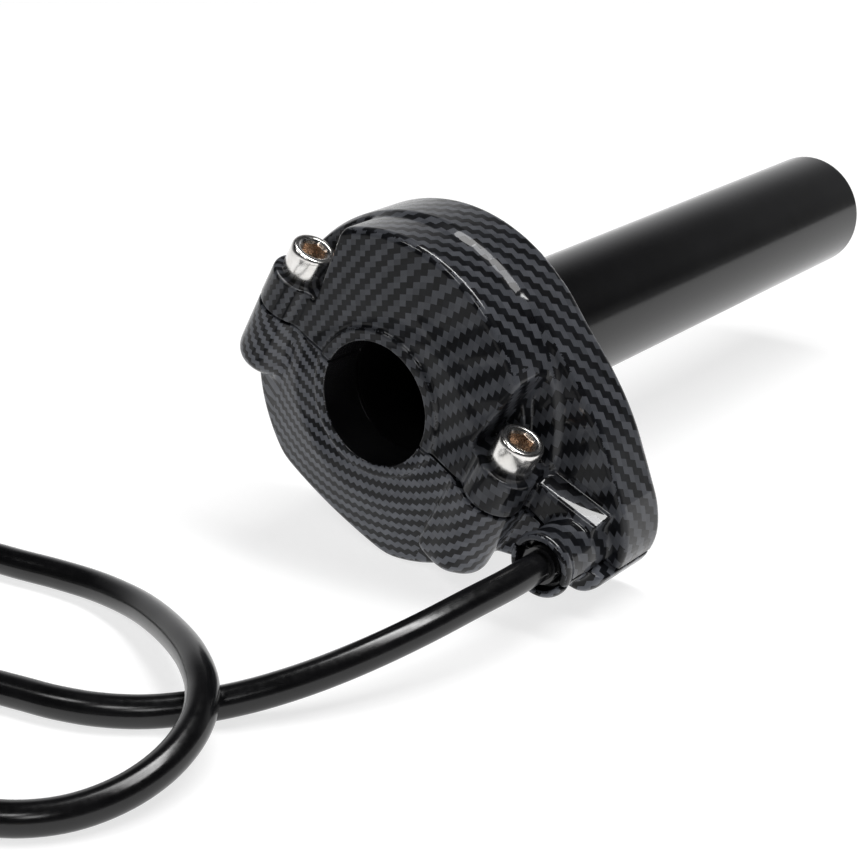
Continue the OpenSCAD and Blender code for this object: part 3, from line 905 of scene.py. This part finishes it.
KEPT = {
    "screw_inserts": brass, "thrust_washer": nylon, "throttle_tube": tube_black,
    "wire_drum": moulding, "drum_wire": wire_steel,
    "drum_nipple": brass, "guide_elbow": zinc, "inner_wire_lead": wire_steel, "cable_ferrule": moulding,
}
for name, material in KEPT.items():
    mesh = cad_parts[name].data
    mesh.materials.clear()
    mesh.materials.append(material)

# ---------------------------------------------------------------- stage and light

floor_mat, tree, shader = new_material("floor")
floor_colour = ramp(tree, noise(tree, 3, 2), (0.33, 0.33, 0.33), (0.35, 0.35, 0.35))
tree.links.new(floor_colour, shader.inputs["Base Color"])
shader.inputs["Emission Color"].default_value = (1, 1, 1, 1)
shader.inputs["Emission Strength"].default_value = 0.74
shader.inputs["Roughness"].default_value = 0.85
shader.inputs["Specular IOR Level"].default_value = 0.1
mesh = bpy.data.meshes.new("floor")
FLOOR_HALF = 6.0  # metres
floor_corners = [(i * FLOOR_HALF, j * FLOOR_HALF, GROUND * MM)
                 for i, j in ((-1, -1), (1, -1), (1, 1), (-1, 1))]
mesh.from_pydata(floor_corners, [], [(0, 1, 2, 3)])
mesh.materials.append(floor_mat)
floor = bpy.data.objects.new("floor", mesh)
bpy.context.collection.objects.link(floor)


def soft_sun(name, towards, strength, angle):
    """A distant light that is angle degrees across."""
    data = bpy.data.lights.new(name, "SUN")
    data.energy = strength
    data.angle = math.radians(angle)
    obj = bpy.data.objects.new(name, data)
    obj.rotation_mode = "QUATERNION"
    obj.rotation_quaternion = Vector(towards).to_track_quat("Z", "Y")
    bpy.context.collection.objects.link(obj)


# A row of overhead lights and a row of weaker ones from the inboard side, each drawn out across the bar
OVERHEAD = [((0.24, 0.12, 0.96), 0.42), ((0.20, -0.09, 0.97), 0.42), ((0.17, -0.29, 0.93), 0.42),
            ((0.15, -0.48, 0.86), 0.42)]
INBOARD = [((-0.48, 0.32, 0.81), 0.22), ((-0.60, -0.09, 0.78), 0.25), ((-0.72, -0.40, 0.68), 0.2)]
lights = [(towards, strength, 16) for towards, strength in OVERHEAD]
lights += [(towards, strength, 12) for towards, strength in INBOARD]
for k, (towards, strength, angle) in enumerate(lights):
    soft_sun("soft_light_%d" % k, towards, strength, angle)

# A long panel overhead, drawn out across the bar
strip = bpy.data.lights.new("strip_light", "AREA")
strip.shape = "RECTANGLE"
strip.size, strip.size_y = 0.075, 0.54
strip.energy = 1.5
strip_lamp = bpy.data.objects.new("strip_light", strip)
strip_lamp.location = (0.127, -0.15, 0.6)
strip_lamp.visible_camera = False
bpy.context.collection.objects.link(strip_lamp)

# The surroundings are pale near the ground and dark above, and bright only beyond the object
world = bpy.data.worlds.new("studio")
bpy.context.scene.world = world
world.use_nodes = True
tree = world.node_tree
background = tree.nodes["Background"]
coords = node(tree, "ShaderNodeTexCoord")
axis = node(tree, "ShaderNodeSeparateXYZ")
tree.links.new(coords.outputs["Generated"], axis.inputs["Vector"])
level = node(tree, "ShaderNodeValToRGB")
stops = level.color_ramp
stops.elements[0].position, stops.elements[0].color = 0.0, (1, 1, 1, 1)
stops.elements[1].position, stops.elements[1].color = 0.62, (0.02, 0.02, 0.022, 1)
mid = stops.elements.new(0.34)
mid.color = (0.6, 0.6, 0.61, 1)
tree.links.new(axis.outputs["Z"], level.inputs["Fac"])
tree.links.new(level.outputs["Color"], background.inputs["Color"])
beyond = math_node(tree, "ADD", math_node(tree, "MULTIPLY", axis.outputs["X"], 0.79),
                   math_node(tree, "MULTIPLY", axis.outputs["Y"], 0.61))
side = map_range(tree, beyond, 0.3, 0.85, 0.04, 1.0)
glow = map_range(tree, axis.outputs["Z"], 0.0, 0.26, 0.3, 0.0)
tree.links.new(math_node(tree, "MAXIMUM", side, glow), background.inputs["Strength"])

bpy.context.scene.view_settings.view_transform = "Standard"
bpy.context.scene.view_settings.look = "None"
